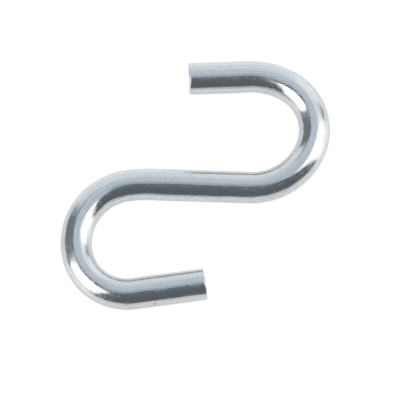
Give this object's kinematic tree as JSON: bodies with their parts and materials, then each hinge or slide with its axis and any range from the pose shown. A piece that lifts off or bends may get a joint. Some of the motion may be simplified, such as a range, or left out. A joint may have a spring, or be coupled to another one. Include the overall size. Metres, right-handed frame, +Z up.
{
  "type": "open s hook",
  "caption": "Open S hook bent from round steel wire, with opposed bowls and straight legs that end in sheared ends. Joins chains, rings and eyes.",
  "frame": {"origin": "middle of the hook's footprint, on the surface that it lies on", "axes": "+X along the shank towards the bowl that opens at -X, +Y across the shank in the plane of the wire towards that bowl's leg, +Z up, square to the plane of the wire"},
  "size_m": [0.0376, 0.037, 0.0045],
  "materials": {
    "zinc_plate": "bright zinc plate on drawn steel wire, smooth and shiny with a faint mottle"
  },
  "bodies": {
    "root": {"s_hook": "zinc_plate"}
  },
  "joints": []
}
